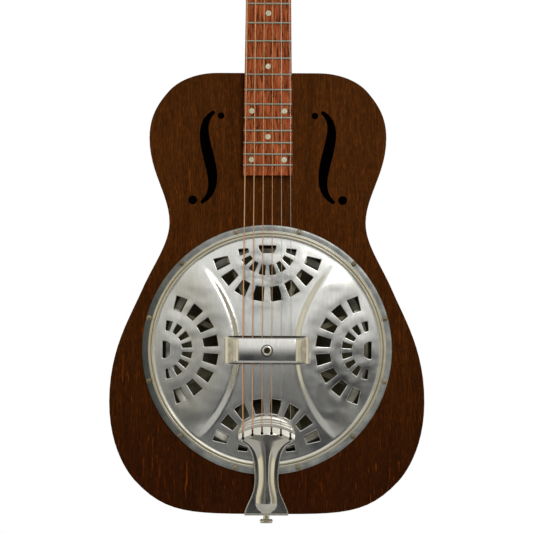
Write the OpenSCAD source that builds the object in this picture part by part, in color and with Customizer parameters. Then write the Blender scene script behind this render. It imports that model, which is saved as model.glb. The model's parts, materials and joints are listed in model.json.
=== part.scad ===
/* [Strings] */
// Speaking length of the strings, from the nut to the saddle
scale_len = 628.65; // [625:0.05:632]
// Distance between the outer strings at the nut
nut_spread = 44.5; // [43:0.5:45]
// Distance between the outer strings at the saddle
saddle_spread = 56; // [54:0.5:57]
// Distance between the outer strings at the tailpiece
tail_spread = 54.6; // [53:0.2:55]
// Height of the strings above the body's face at the nut
nut_height = 15; // [14:0.5:16]
// Height of the saddle's top above the body's face
saddle_height = 25; // [24:0.5:26]

/* [Body] */
// Length of the body, from neck joint to end
body_len = 509.7; // [500:0.1:515]
// Width of the upper bout
upper_w = 273.8; // [270:0.2:278]
// Width of the waist
waist_w = 226.8; // [224:0.2:229]
// Width of the lower bout
lower_w = 364.4; // [360:0.2:370]
// Depth of the body, over top and back
body_depth = 83; // [80:1:90]
// Thickness of the top and of the back
plate_t = 3; // [2.5:0.1:3.5]
// Thickness of the bent sides
side_t = 2.4; // [2:0.1:3]

/* [Neck and head] */
// Width of the fretboard at the nut
board_nut_w = 46.6; // [46:0.2:48]
// Width of the fretboard at its body end
board_end_w = 57.2; // [56:0.2:58]
// Thickness of the fretboard
board_t = 6; // [5:0.5:7]
// Number of frets
fret_count = 19; // [17:1:19]
// Depth of the square neck
neck_d = 36; // [32:1:38]
// Backward pitch of the head in degrees
head_pitch = 12; // [10:1:13]
// Width of the head
head_w = 70; // [70:1:70]
// Length of the head
head_len = 168; // [168:1:174]
// Thickness of the head
head_t = 20; // [20:1:20]

/* [Resonator] */
// Diameter of the coverplate
cover_d = 289; // [286:1:290]
// Rise of the coverplate's dome above its rim
dome_rise = 8.5; // [7:0.5:9]
// Thickness of the coverplate's sheet
sheet_t = 1.2; // [1:0.1:1.3]
// Distance of each fan's focus from the plate's centre
fan_r = 120; // [118:0.5:122]

/* [Tuners] */
// Teeth on each tuner's gear wheel
gear_teeth = 14; // [12:1:16]
// Radius of each string roller
roller_r = 5; // [4.5:0.5:5]

/* [Hidden] */
$fn = 48;

// Heights along the neck. The origin is under the head's shoulders, where a hanger holds the guitar.
nut_z = -20;
nut_w = 6;
head_z = nut_z + nut_w;
function fret_z(n) = nut_z - scale_len * (1 - pow(2, -n / 12));
body_top_z = -332.3;
body_end_z = body_top_z - body_len;
board_end_z = -450.7;
// The saddle sits a little further than the scale length, so that stopped strings play in tune.
saddle_z = nut_z - scale_len - 3.65;
inner_back_y = body_depth - plate_t;

// Half the fretboard's width at height z
function board_half(z) =
    board_nut_w / 2 + (board_end_w - board_nut_w) / 2 * (z - nut_z) / (board_end_z - nut_z);

// Body outline: x, z, heading in degrees, and the length of the curve's handle before and after
knots = [
    [58, body_top_z, 0, 0, 26],
    [114.9, body_top_z - 21.6, -49, 16, 20],
    [upper_w / 2, body_top_z - 75.3, -90, 24, 40.6],
    [waist_w / 2, body_top_z - 173.2, -90, 31.8, 24.5],
    [144.5, body_top_z - 250.6, -66.5, 30.7, 38.2],
    [lower_w / 2, body_top_z - 380.3, -90, 60.2, 55.6],
    [152.6, body_top_z - 471.2, -132.7, 8, 53.6],
    [0, body_end_z, -180, 88, 0]
];
curve_steps = 12;

function bezier(a, b, c, d, t) =
    pow(1 - t, 3) * a + 3 * pow(1 - t, 2) * t * b + 3 * (1 - t) * t * t * c + pow(t, 3) * d;
function bezier_way(a, b, c, d, t) =
    pow(1 - t, 2) * (b - a) + 2 * (1 - t) * t * (c - b) + t * t * (d - c);
function unit(v) = v / norm(v);
function heading(a) = [cos(a), sin(a)];
function knot_point(k) = [k[0], k[1]];
function span_ends(i) =
    let (a = knots[i], b = knots[i + 1])
    [
        knot_point(a), knot_point(a) + a[4] * heading(a[2]),
        knot_point(b) - b[3] * heading(b[2]), knot_point(b)
    ];
// Point t along curve e, moved to the right of the way it runs by d
function inset_point(e, t, d) =
    let (p = bezier(e[0], e[1], e[2], e[3], t), w = unit(bezier_way(e[0], e[1], e[2], e[3], t)))
    p + d * [w[1], -w[0]];

// Right half of the outline, set in by d, from the top centre round to the end's centre
function half_outline(d) = concat(
    [[0, body_top_z - d]],
    [for (i = [0 : len(knots) - 2], s = [0 : curve_steps - 1])
        inset_point(span_ends(i), s / curve_steps, d)],
    [[0, body_end_z + d]]
);
function flipped(pts) = [for (i = [len(pts) - 1 : -1 : 0]) [-pts[i][0], pts[i][1]]];
function backwards(pts) = [for (i = [len(pts) - 1 : -1 : 0]) pts[i]];
function whole_outline(d) =
    let (h = half_outline(d))
    concat(h, [for (i = [len(h) - 2 : -1 : 1]) [-h[i][0], h[i][1]]]);

// A flat shape drawn in x and z, made solid from y0 to y1
module slab(y0, y1) {
    translate([0, y1, 0]) rotate([90, 0, 0]) linear_extrude(y1 - y0) children();
}
// A flat shape drawn in y and z, made solid from x0 to x1
module wall(x0, x1) {
    translate([x0, 0, 0]) rotate([90, 0, 90]) linear_extrude(x1 - x0) children();
}
// A round bar along y
module pole(x, z, r, y0, y1) {
    translate([x, y1, z]) rotate([90, 0, 0]) cylinder(r = r, h = y1 - y0);
}
// A round bar along x
module bar(y, z, r, x0, x1) {
    translate([x0, y, z]) rotate([0, 90, 0]) cylinder(r = r, h = x1 - x0);
}
// A round bar along z
module post(x, y, r, z0, z1) {
    translate([x, y, z0]) cylinder(r = r, h = z1 - z0);
}
// Places children at the resonator's centre, with their own z axis pointing out of the face
module at_resonator() {
    translate([0, 0, saddle_z]) rotate([90, 0, 0]) children();
}
// Places children in the head's own frame: z along the head, y into it from its face
module on_head() {
    translate([0, 0, head_z]) rotate([-head_pitch, 0, 0]) children();
}
function head_point(x, y, z) = [
    x,
    y * cos(head_pitch) + z * sin(head_pitch),
    head_z - y * sin(head_pitch) + z * cos(head_pitch)
];

// ---------- Body ----------
well_r = 146;
cone_hole_r = 134;
rim_screw_r = 141;
rim_screws = 12;
pilot_r = 1.55;
neck_tenon_w = 24;
neck_tenon_d = 70;
neck_tenon_len = 20;
block_w = 72;
neck_block_len = 42;
tail_block_len = 26;
end_pin_y = 41.5;
end_pin_r = 5;
bolt_r = 3;
bolt_ys = [20, 44];
bolt_reach = 10;

hole_mid = [[-63.5, -46], [-94, -68], [-42, -126], [-75.5, -149]];
hole_tip_w = 4.6;
hole_belly_w = 12.6;
hole_steps = 24;
function hole_edge(side, t) =
    let (
        p = bezier(hole_mid[0], hole_mid[1], hole_mid[2], hole_mid[3], t),
        w = unit(bezier_way(hole_mid[0], hole_mid[1], hole_mid[2], hole_mid[3], t)),
        half = (hole_tip_w + (hole_belly_w - hole_tip_w) * sin(180 * t)) / 2
    )
    p + side * half * [w[1], -w[0]];

// Rounded tip of a sound hole, turning from one edge to the other
function hole_tip(p, start) = [for (k = [1 : 5]) p + hole_tip_w / 2 * heading(start + 30 * k)];
function angle_of(v) = atan2(v[1], v[0]);

module sound_hole() {
    translate([0, body_top_z]) {
        polygon(concat(
            [for (s = [0 : hole_steps]) hole_edge(1, s / hole_steps)],
            hole_tip(hole_mid[3], angle_of(hole_mid[3] - hole_mid[2]) - 90),
            [for (s = [hole_steps : -1 : 0]) hole_edge(-1, s / hole_steps)],
            hole_tip(hole_mid[0], angle_of(hole_mid[1] - hole_mid[0]) + 90)
        ));
        translate([-54.2, -49.5]) circle(r = 3.8);
        translate([-86.6, -147]) circle(r = 5.1);
    }
}

module rim_screw_holes(r, y0, y1) {
    for (i = [0 : rim_screws - 1]) {
        a = 360 / rim_screws * (i + 0.5);
        pole(rim_screw_r * sin(a), saddle_z + rim_screw_r * cos(a), r, y0, y1);
    }
}

module top() {
    color([0.25, 0.14, 0.07]) difference() {
        slab(0, plate_t) polygon(whole_outline(0));
        pole(0, saddle_z, cone_hole_r, -1, plate_t + 1);
        slab(-1, plate_t + 1) sound_hole();
        slab(-1, plate_t + 1) mirror([1, 0]) sound_hole();
        rim_screw_holes(pilot_r, -1, plate_t + 1);
    }
}

module back() {
    color([0.24, 0.13, 0.07]) slab(inner_back_y, body_depth) polygon(whole_outline(0));
}

// One bent side: it stops at the neck's tenon and meets the other side at the end of the body
module bent_side() {
    difference() {
        slab(plate_t, inner_back_y) polygon(concat(half_outline(0), backwards(half_outline(side_t))));
        translate([-1, 0, body_top_z - 5]) cube([neck_tenon_w / 2 + 1, body_depth, 10]);
        post(0, end_pin_y, end_pin_r, body_end_z - 5, body_end_z + 10);
    }
}
module side_treble() {
    color([0.24, 0.13, 0.07]) bent_side();
}
module side_bass() {
    color([0.24, 0.13, 0.07]) mirror([1, 0, 0]) bent_side();
}

// Four strips that widen the gluing edges, interrupted at the two blocks
lining_w = 6;
lining_h = 9;
module linings() {
    color([0.72, 0.56, 0.36]) difference() {
        for (y = [plate_t, inner_back_y - lining_h], m = [0, 1]) {
            mirror([m, 0, 0]) slab(y, y + lining_h)
                polygon(concat(half_outline(side_t), backwards(half_outline(side_t + lining_w))));
        }
        translate([-block_w / 2, -1, body_end_z - 10])
            cube([block_w, body_depth + 2, body_len + 20]);
    }
}

module neck_block() {
    z0 = body_top_z - side_t - neck_block_len;
    color([0.70, 0.52, 0.33]) difference() {
        translate([-block_w / 2, plate_t, z0])
            cube([block_w, inner_back_y - plate_t, neck_block_len]);
        translate([-neck_tenon_w / 2, plate_t, body_top_z - neck_tenon_len])
            cube([neck_tenon_w, neck_tenon_d - plate_t, neck_tenon_len]);
        for (y = bolt_ys) post(0, y, bolt_r, z0 - 1, body_top_z);
    }
}

module tail_block() {
    color([0.70, 0.52, 0.33]) difference() {
        intersection() {
            slab(plate_t, inner_back_y) polygon(whole_outline(side_t));
            translate([-block_w / 2, 0, body_end_z]) cube([block_w, body_depth, tail_block_len]);
        }
        post(0, end_pin_y, end_pin_r, body_end_z - 1, body_end_z + 20);
    }
}

well_depth = 62;
ledge_y = 12;
module soundwell() {
    color([0.62, 0.47, 0.30]) difference() {
        at_resonator() rotate_extrude($fn = 96) polygon([
            [cone_hole_r, -plate_t], [well_r, -plate_t], [well_r, -well_depth],
            [well_r - 8, -well_depth], [well_r - 8, -ledge_y - 6], [cone_hole_r - 10, -ledge_y - 6],
            [cone_hole_r - 10, -ledge_y], [cone_hole_r, -ledge_y]
        ]);
        rim_screw_holes(pilot_r, plate_t - 1, ledge_y - 2);
        for (a = [22.5 : 45 : 359]) at_resonator() rotate([0, 0, a])
            translate([120, 0, -41]) rotate([0, 90, 0]) cylinder(r = 14, h = 40);
    }
}

brace_h = 8;
module back_braces() {
    color([0.78, 0.62, 0.42]) intersection() {
        slab(0, body_depth) polygon(whole_outline(side_t + lining_w));
        for (z = [-506, -620, -740]) translate([-200, inner_back_y - brace_h, z - 5])
            cube([400, brace_h, 10]);
    }
}

// ---------- Neck and head ----------
slot_in = 9;
slot_out = 23;
slot_z = [40, 156];
slot_r = 6;
roller_zs = [60, 98, 136];
roller_y = 9;
shaft_r = 3;
running_gap = 0.05;
plate_sheet = 1.2;
plate_zs = [34, 150];
plate_screw_zs = [37, 79, 117, 147];
tuner_screw_r = 1.2;

// Head outline in its own frame: shoulders, straight sides, and a shallow arched top
shoulder_zs = [4, 22];
function shoulder(t) = [
    board_nut_w / 2 + (head_w - board_nut_w) / 2 * (1 - cos(180 * t)) / 2,
    shoulder_zs[0] + (shoulder_zs[1] - shoulder_zs[0]) * t
];
crown_h = 5;
function head_side() = concat(
    [[board_nut_w / 2, 0]],
    [for (s = [0 : 10]) shoulder(s / 10)],
    [for (s = [0 : 12]) [head_w / 2 * cos(90 * s / 12), head_len - crown_h + crown_h * sin(90 * s / 12)]]
);
module head_outline() {
    polygon(concat(head_side(), flipped(head_side())));
}
module head_slots(y0, y1) {
    for (m = [0, 1]) mirror([m, 0, 0]) slab(y0, y1) {
        translate([slot_in, slot_z[0] + slot_r])
            square([slot_out - slot_in, slot_z[1] - slot_z[0] - 2 * slot_r]);
        translate([slot_in + slot_r, slot_z[0]])
            square([slot_out - slot_in - 2 * slot_r, slot_z[1] - slot_z[0]]);
        for (x = [slot_in + slot_r, slot_out - slot_r], z = [slot_z[0] + slot_r, slot_z[1] - slot_r])
            translate([x, z]) circle(r = slot_r);
    }
}

neck_back = head_point(0, head_t, 24);
heel_d = 74;
heel_len = 60;
module neck() {
    color([0.26, 0.15, 0.09]) difference() {
        union() {
            intersection() {
                slab(0, heel_d) polygon([
                    [-board_half(body_top_z), body_top_z], [board_half(body_top_z), body_top_z],
                    [board_half(nut_z), nut_z], [board_half(nut_z), 20],
                    [-board_half(nut_z), 20], [-board_half(nut_z), nut_z]
                ]);
                wall(-50, 50) polygon(concat(
                    [[0, body_top_z], [0, head_z], [neck_back[1], neck_back[2]], [neck_d, -30]],
                    [for (s = [0 : 12]) [
                        neck_d + (heel_d - neck_d) * (1 - cos(90 * s / 12)),
                        body_top_z + 5 + heel_len * (1 - sin(90 * s / 12))
                    ]],
                    [[heel_d, body_top_z]]
                ));
            }
            translate([-neck_tenon_w / 2, plate_t, body_top_z - neck_tenon_len])
                cube([neck_tenon_w, neck_tenon_d - plate_t, neck_tenon_len + 5]);
            on_head() slab(0, head_t) head_outline();
        }
        for (y = bolt_ys) post(0, y, bolt_r, body_top_z - 60, body_top_z + bolt_reach + 2);
        on_head() {
            head_slots(-5, head_t + 30);
            for (m = [0, 1], z = roller_zs) mirror([m, 0, 0])
                bar(roller_y, z, shaft_r + running_gap, slot_in - 6, head_w / 2 + 1);
            for (m = [0, 1], z = plate_screw_zs) mirror([m, 0, 0])
                bar(roller_y, z, tuner_screw_r, head_w / 2 - 9, head_w / 2 + 1);
        }
    }
}

veneer_t = 1.5;
module head_veneer() {
    color([0.12, 0.09, 0.07]) on_head() difference() {
        slab(-veneer_t, 0) head_outline();
        head_slots(-5, 5);
    }
}

fret_slot_w = 0.6;
fret_slot_d = 2;
fret_crown_r = 1.3;
marker_r = 3.2;
marker_t = 1.2;
double_dot_x = 18.9;
function fret_mid(n) = (fret_z(n) + fret_z(n - 1)) / 2;
single_dots = [5, 7, 9, 12, 17];
double_dots = [15, 19];

module dot_places() {
    for (n = single_dots) if (n <= fret_count) translate([0, 0, fret_mid(n)]) children();
    for (n = double_dots, s = [-1, 1]) if (n <= fret_count)
        translate([s * double_dot_x, 0, fret_mid(n)]) children();
}
module fretboard() {
    color([0.50, 0.24, 0.16]) difference() {
        slab(-board_t, 0) polygon([
            [-board_half(board_end_z), board_end_z], [board_half(board_end_z), board_end_z],
            [board_half(nut_z), nut_z], [-board_half(nut_z), nut_z]
        ]);
        for (n = [1 : fret_count])
            translate([-40, -board_t - 1, fret_z(n) - fret_slot_w / 2])
                cube([80, fret_slot_d + 1, fret_slot_w]);
        dot_places() pole(0, 0, marker_r, -board_t - 1, -board_t + marker_t);
    }
}
module frets() {
    color([0.72, 0.70, 0.62]) for (n = [1 : fret_count]) {
        half = board_half(fret_z(n));
        translate([0, -board_t, fret_z(n)]) {
            translate([-half, 0, -fret_slot_w / 2]) cube([2 * half, fret_slot_d, fret_slot_w]);
            wall(-half, half) intersection() {
                circle(r = fret_crown_r, $fn = 32);
                translate([-3, -3]) square([3, 6]);
            }
        }
    }
}
module fret_markers() {
    color([0.86, 0.84, 0.68]) dot_places() pole(0, 0, marker_r, -board_t, -board_t + marker_t);
}

// Strings, numbered 1 at the treble side to 6 at the bass side
string_rs = [0.21, 0.24, 0.33, 0.46, 0.58, 0.7];
function across(i, spread) = spread / 2 - spread * (i - 1) / 5;
nut_top = 1.1;
module nut() {
    half = board_half(nut_z);
    color([0.86, 0.82, 0.70]) difference() {
        translate([-half, -nut_height - nut_top, nut_z]) cube([2 * half, nut_height + nut_top, nut_w]);
        for (i = [1 : 6]) {
            r = string_rs[i - 1];
            translate([across(i, nut_spread) - r - 0.1, -nut_height - 5, nut_z - 1])
                cube([2 * r + 0.2, 5 + r + 0.1, nut_w + 2]);
        }
    }
}
module neck_bolts() {
    z0 = body_top_z - side_t - neck_block_len;
    color([0.60, 0.60, 0.60]) for (y = bolt_ys) {
        post(0, y, bolt_r, z0, body_top_z + bolt_reach);
        difference() {
            post(0, y, 6.5, z0 - 5, z0);
            post(0, y, 3, z0 - 6, z0 - 2, $fn = 6);
        }
    }
}

// ---------- Resonator ----------
cover_r = cover_d / 2;
dome_r = 128;
rim_step_h = 4;
function dome_h(r) = rim_step_h + dome_rise * (1 - pow(r / dome_r, 2));
dome_steps = 16;
fan_outer = [47.4, 63.9, 9.3, 13.4];
fan_inner = [22.4, 33.7, 4.4, 7.4];
saddle_bay = [88, 31.4];

// One pierced slot of a fan: from radius v[0] to v[1], and from width v[2] to v[3]
module fan_slot(v) {
    polygon([[-v[2] / 2, -v[0]], [v[2] / 2, -v[0]], [v[3] / 2, -v[1]], [-v[3] / 2, -v[1]]]);
}
module fan() {
    translate([0, fan_r]) {
        for (a = [10, 30, 50, 70], s = [-1, 1]) rotate(s * a) fan_slot(fan_outer);
        for (a = [11, 33, 55, 77], s = [-1, 1]) rotate(s * a) fan_slot(fan_inner);
        intersection() {
            circle(r = 10);
            translate([-12, -8]) square([24, 8.5]);
        }
    }
}
module coverplate() {
    outside = [for (s = [0 : dome_steps]) [dome_r * s / dome_steps, dome_h(dome_r * s / dome_steps)]];
    inside = [for (p = backwards(outside)) [p[0], p[1] - sheet_t]];
    color([0.72, 0.71, 0.68]) difference() {
        at_resonator() rotate_extrude($fn = 96) polygon(concat(
            outside,
            [[131, 3.4], [133, sheet_t], [cover_r, sheet_t], [cover_r, 0], [132, 0], [130, 2.2]],
            inside
        ));
        at_resonator() translate([0, 0, -5]) linear_extrude(30) {
            for (a = [0 : 90 : 270]) rotate(a) fan();
            square(saddle_bay, center = true);
        }
        rim_screw_holes(1.6, -sheet_t - 1, 1);
    }
}
module coverplate_screws() {
    color([0.70, 0.66, 0.56]) for (i = [0 : rim_screws - 1]) {
        a = 360 / rim_screws * (i + 0.5);
        at_resonator() rotate([0, 0, -a]) translate([0, rim_screw_r, 0]) difference() {
            rotate_extrude() polygon([
                [0, -9], [1.5, -9], [1.5, sheet_t], [3.1, sheet_t], [3.1, sheet_t + 0.5],
                [1.8, sheet_t + 1.5], [0, sheet_t + 1.7]
            ]);
            translate([-4, -0.35, sheet_t + 0.9]) cube([8, 0.7, 2]);
        }
    }
}

// Hand rest: an arched strap over the saddles, its feet lying on the dome
rest_w = 101;
rest_len = 30;
rest_h = 32;
rest_t = 1.3;
rest_foot_h = 11.5;
rest_hole_r = 4.2;
module hand_rest() {
    half = rest_w / 2;
    arch = [[half, rest_foot_h + rest_t], [half - 5, rest_foot_h + rest_t], [38.4, 29.2], [34, rest_h]];
    under = [
        [33.6, rest_h - rest_t], [37.2, 28.6], [half - 6.1, rest_foot_h], [half, rest_foot_h]
    ];
    side = concat(arch, [for (p = backwards(arch)) [-p[0], p[1]]]);
    inner = concat([for (p = backwards(under)) [-p[0], p[1]]], under);
    color([0.76, 0.75, 0.72]) difference() {
        at_resonator() rotate([90, 0, 0]) linear_extrude(rest_len, center = true) polygon(concat(side, inner));
        pole(0, saddle_z, rest_hole_r, -rest_h - 1, -rest_h + rest_t + 1);
    }
}
module hand_rest_eyelet() {
    low = rest_h - rest_t;
    color([0.80, 0.79, 0.76]) at_resonator() rotate_extrude() polygon([
        [3.5, low - 0.8], [5.4, low - 0.8], [5.4, low], [rest_hole_r, low], [rest_hole_r, rest_h],
        [5.8, rest_h], [5.5, rest_h + 0.9], [4.4, rest_h + 1.2], [3.5, rest_h + 0.6]
    ]);
}

screw_shaft_r = 2.5;
cone_path = [
    [133.9, -11], [123.5, -11], [118, -13.5], [92, -24], [60, -32], [44, -34.5], [34, -33], [12, -23],
    [6, -22], [screw_shaft_r + running_gap, -22]
];
cone_t = 1;
module cone() {
    color([0.80, 0.80, 0.80]) at_resonator() rotate_extrude($fn = 96) polygon(concat(
        cone_path, [for (p = backwards(cone_path)) [p[0], p[1] - cone_t]]
    ));
}
hub_r = 17;
hub_h = [2, 8];
bar_w = 10;
saddle_t = 3.5;
saddle_xs = [4.5, 33];
slot_floor_h = 4;
module spider() {
    color([0.62, 0.62, 0.61]) at_resonator() difference() {
        union() {
            translate([0, 0, hub_h[0]]) cylinder(r = hub_r, h = hub_h[1] - hub_h[0]);
            translate([-35, -bar_w / 2, hub_h[0]]) cube([70, bar_w, hub_h[1] - hub_h[0]]);
            for (a = [22.5 : 45 : 359]) rotate([0, 0, a]) rotate([90, 0, 0])
                linear_extrude(6, center = true) polygon([
                    [10, 2.2], [10, 6], [60, 4.5], [118, -5], [129, -8], [129, -11], [124.5, -11],
                    [116, -8], [60, 1]
                ]);
        }
        cylinder(r = screw_shaft_r + running_gap, h = 30, center = true);
        translate([-saddle_xs[1], -saddle_t / 2, slot_floor_h]) cube([2 * saddle_xs[1], saddle_t, 10]);
        translate([0, 0, slot_floor_h + 2]) cylinder(r = 4.2, h = 10);
    }
}
module saddles() {
    color([0.60, 0.42, 0.24]) at_resonator() for (s = [0, 1]) mirror([s, 0, 0])
        translate([saddle_xs[0], 0, 0]) rotate([90, 0, 90])
        linear_extrude(saddle_xs[1] - saddle_xs[0]) polygon([
            [-saddle_t / 2, slot_floor_h], [saddle_t / 2, slot_floor_h], [saddle_t / 2, saddle_height - 2],
            [0.6, saddle_height], [-0.6, saddle_height], [-saddle_t / 2, saddle_height - 2]
        ]);
}
module tension_screw() {
    color([0.66, 0.64, 0.58]) at_resonator() difference() {
        union() {
            translate([0, 0, -25]) cylinder(r = screw_shaft_r, h = 32);
            translate([0, 0, 6.05]) cylinder(r = 3.8, h = 2.6);
        }
        translate([-5, -0.5, 7.6]) cube([10, 1, 3]);
    }
}

// ---------- Tailpiece and end pin ----------
tail_top_z = saddle_z - 74;
tail_notch_z = saddle_z - 92;
tail_head_h = 15;
tail_t = 2;
end_gap = 0.1;
end_plate_t = 1.6;
strap_knots = [
    [[33, -22], [33, -46], [13.4, -34], [13.4, -68]],
    [[13.4, -68], [13.4, -90], [19, -104], [25.5, -116]]
];
strap_steps = 10;
function strap_side() = concat(
    [for (s = [0 : 8]) [33 * sin(90 * s / 8), -22 + 22 * cos(90 * s / 8)]],
    [for (k = strap_knots, s = [1 : strap_steps])
        bezier(k[0], k[1], k[2], k[3], s / strap_steps)]
);
module tailpiece() {
    strap_end = body_end_z - end_gap;
    color([0.80, 0.79, 0.74]) difference() {
        union() {
            intersection() {
                slab(-tail_head_h, 0) {
                    translate([0, tail_top_z]) polygon(concat(strap_side(), flipped(strap_side())));
                    translate([-25.5, strap_end]) square([51, 2]);
                }
                wall(-40, 40) polygon([
                    [-tail_head_h, tail_top_z], [-tail_head_h, tail_top_z - 32], [-tail_t, body_end_z + 5],
                    [-tail_t, strap_end], [-end_gap, strap_end], [-end_gap, body_end_z + 5],
                    [-tail_head_h + tail_t, tail_top_z - 31], [-tail_head_h + tail_t, tail_top_z]
                ]);
            }
            translate([0, 0, strap_end - end_plate_t]) linear_extrude(end_plate_t) {
                polygon([
                    [-25.5, -tail_t], [25.5, -tail_t], [25.5, 4],
                    [12, end_pin_y], [-12, end_pin_y], [-25.5, 4]
                ]);
                translate([0, end_pin_y]) circle(r = 12);
            }
        }
        for (i = [1 : 6]) translate([across(i, tail_spread) - 1, -tail_head_h - 1, tail_notch_z - 10])
            cube([2, tail_t + 2, 10]);
        post(0, end_pin_y, end_pin_r, body_end_z - 5, body_end_z);
    }
}
pin_shank_r = 3.9;
module end_pin() {
    out = -end_gap - end_plate_t;
    color([0.74, 0.71, 0.62]) translate([0, end_pin_y, body_end_z]) rotate_extrude() polygon([
        [0, 18], [end_pin_r, 18], [end_pin_r, out], [5.6, out], [5.6, out - 0.8],
        [pin_shank_r, out - 0.8], [pin_shank_r, out - 7.4], [6.4, out - 7.4], [7.8, out - 8.8],
        [7.8, out - 10.6], [6.8, out - 12], [0, out - 12.4]
    ]);
}

// ---------- Strings ----------
string_sides = 8;
ball_r = 1.6;
wind_gap = 0.15;
wind_turns = 2.25;
wind_steps = 16;
roller_xs = [20.5, 16.3, 12];
function row_of(i) = i <= 3 ? i - 1 : 6 - i;
function side_of(i) = i <= 3 ? 1 : -1;

// Winding of string i on its roller, from the point where the string first touches it
function winding(i) =
    let (
        r = string_rs[i - 1],
        wr = roller_r + wind_gap + r,
        zr = roller_zs[row_of(i)],
        x0 = roller_xs[row_of(i)],
        step = (x0 > (slot_in + slot_out) / 2 ? -1 : 1) * (2 * r + 0.15),
        from = [-nut_height * cos(head_pitch) - roller_y, -nut_height * sin(head_pitch) - zr],
        start = atan2(from[1], from[0]) + 360 - acos(wr / norm(from))
    )
    [for (s = [0 : wind_steps * wind_turns])
        let (a = start - 360 * s / wind_steps)
        head_point(side_of(i) * (x0 + step * s / wind_steps), roller_y + wr * cos(a), zr + wr * sin(a))];

function string_path(i) =
    let (r = string_rs[i - 1], xt = across(i, tail_spread), yt = -tail_head_h - r - 0.05)
    concat(
        [
            [xt, -9.4, tail_notch_z - 9.1], [xt, -11.4, tail_notch_z - 6.3], [xt, -11.5, tail_notch_z - 6.15],
            [xt, yt, tail_notch_z - 0.3],
            [across(i, saddle_spread), -saddle_height - r - 0.03, saddle_z],
            [across(i, nut_spread), -nut_height, head_z + 0.3]
        ],
        winding(i)
    );

// A round rod of radius rs[i] at each point of a path that never runs along x
module sweep(path, rs) {
    n = len(path);
    ways = [for (i = [0 : n - 1])
        let (
            a = i > 0 ? unit(path[i] - path[i - 1]) : [0, 0, 0],
            b = i < n - 1 ? unit(path[i + 1] - path[i]) : [0, 0, 0]
        )
        unit(a + b)];
    points = [for (i = [0 : n - 1], s = [0 : string_sides - 1])
        let (w = ways[i], u = unit([1, 0, 0] - w[0] * w), v = cross(w, u), a = 360 * (s + 0.5) / string_sides)
        path[i] + rs[i] * (cos(a) * u + sin(a) * v)];
    tube = [for (i = [0 : n - 2], s = [0 : string_sides - 1])
        let (k = i * string_sides, t = (s + 1) % string_sides)
        [k + s, k + string_sides + s, k + string_sides + t, k + t]];
    foot = [[for (s = [0 : string_sides - 1]) s]];
    head = [[for (s = [string_sides - 1 : -1 : 0]) (n - 1) * string_sides + s]];
    polyhedron(points, concat(tube, foot, head));
}
module guitar_string(i) {
    path = string_path(i);
    rs = [for (k = [0 : len(path) - 1]) k < 2 ? ball_r : string_rs[i - 1]];
    color(i > 2 ? [0.72, 0.50, 0.33] : [0.70, 0.70, 0.70]) sweep(path, rs);
}

// ---------- Tuners ----------
gear_xs = [38.5, 41.5];
gear_tip_r = 7;
gear_root_r = 5.6;
worm_x = 40;
worm_tip_r = 3.1;
worm_core_r = 2.2;
worm_shaft_r = 1.6;
mesh_gap = 0.15;
worm_drop = gear_tip_r + worm_tip_r + mesh_gap;
thread_pitch = 2.8;
tab_ys = [7, 8.5];
tab_half = 4;
button_ys = [11.3, 14, 25];
button_half = [5.5, 9];

// Places children on the axis of string i's roller, in the head's frame, for either side
module at_tuner(i) {
    on_head() mirror([i > 3 ? 1 : 0, 0, 0]) translate([0, roller_y, roller_zs[row_of(i)]]) children();
}
module at_worm() {
    translate([worm_x, 0, -worm_drop]) rotate([-90, 0, 0]) children();
}
module roller(i) {
    color([0.90, 0.88, 0.80]) at_tuner(i) {
        bar(0, 0, roller_r, slot_in + 0.3, slot_out - 0.3);
        bar(0, 0, shaft_r, slot_in - 5.5, gear_xs[1] + 1.5);
    }
}
module gear(i) {
    step = 360 / gear_teeth;
    color([0.72, 0.62, 0.38]) at_tuner(i) difference() {
        union() {
            wall(gear_xs[0], gear_xs[1]) polygon([
                for (k = [0 : gear_teeth - 1], v = [-0.3, -0.17, 0.17, 0.3])
                    (abs(v) < 0.2 ? gear_tip_r : gear_root_r) * heading((k + v) * step)
            ]);
            bar(0, 0, 4.2, head_w / 2 + plate_sheet + 0.3, gear_xs[0]);
        }
        bar(0, 0, shaft_r, 30, 50);
    }
}
module worm(i) {
    ring = [[0, worm_core_r], [0.9, worm_tip_r], [1.4, worm_tip_r], [2.3, worm_core_r]];
    threads = [for (k = [-2 : 1], v = ring) [v[1], (k + 0.09) * thread_pitch + v[0]]];
    color([0.74, 0.72, 0.66]) at_tuner(i) at_worm() rotate_extrude() polygon(concat(
        [
            [0, -9.6], [worm_shaft_r, -9.6], [worm_shaft_r, -6.9],
            [2.8, -6.9], [2.8, -5.7], [worm_core_r, -5.7]
        ],
        threads,
        [
            [worm_core_r, 5.8], [2.8, 5.8], [2.8, 6.9],
            [worm_shaft_r, 6.9], [worm_shaft_r, 20], [0, 20]
        ]
    ));
}
module tuner_button(i) {
    color([0.88, 0.86, 0.78]) at_tuner(i) at_worm() difference() {
        union() {
            translate([0, 0, button_ys[0]]) cylinder(r = 3.2, h = button_ys[1] - button_ys[0] + 1);
            translate([0, 0, button_ys[1]]) linear_extrude(button_ys[2] - button_ys[1])
                polygon([for (a = [0 : 10 : 350]) [button_half[0] * cos(a), button_half[1] * sin(a)]]);
        }
        translate([0, 0, 5]) cylinder(r = worm_shaft_r, h = 15);
    }
}
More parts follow.
